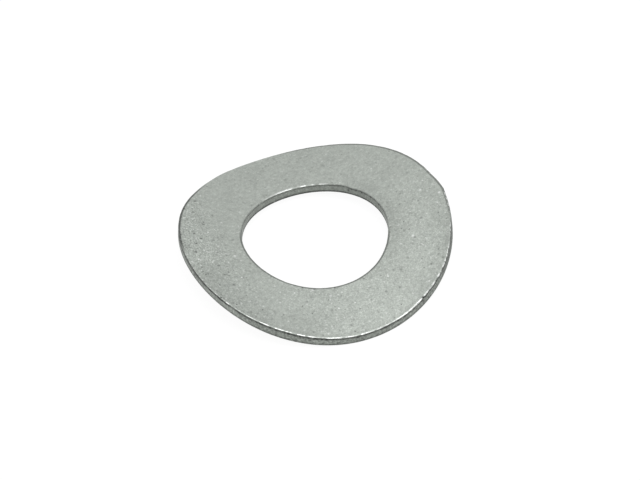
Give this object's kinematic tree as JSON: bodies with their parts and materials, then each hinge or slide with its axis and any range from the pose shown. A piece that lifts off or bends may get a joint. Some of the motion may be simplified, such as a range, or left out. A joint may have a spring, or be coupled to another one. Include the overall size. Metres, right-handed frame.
{
  "type": "curved spring washer",
  "caption": "Curved spring washer: a thin punched ring with a plain round bore, bent once so that two opposite ends stand up.",
  "frame": {"origin": "on the bore's axis, in the plane of the surface that the washer lies on", "axes": "+Z along the bore's axis and up, ends raised towards -X and +X, low sides at -Y and +Y"},
  "size_m": [0.0151, 0.0152, 0.0023],
  "materials": {
    "dull_zinc": "matte mechanically plated zinc over spring steel, fine grained, burnished on its edges"
  },
  "bodies": {
    "root": {"washer": "dull_zinc"}
  },
  "joints": []
}
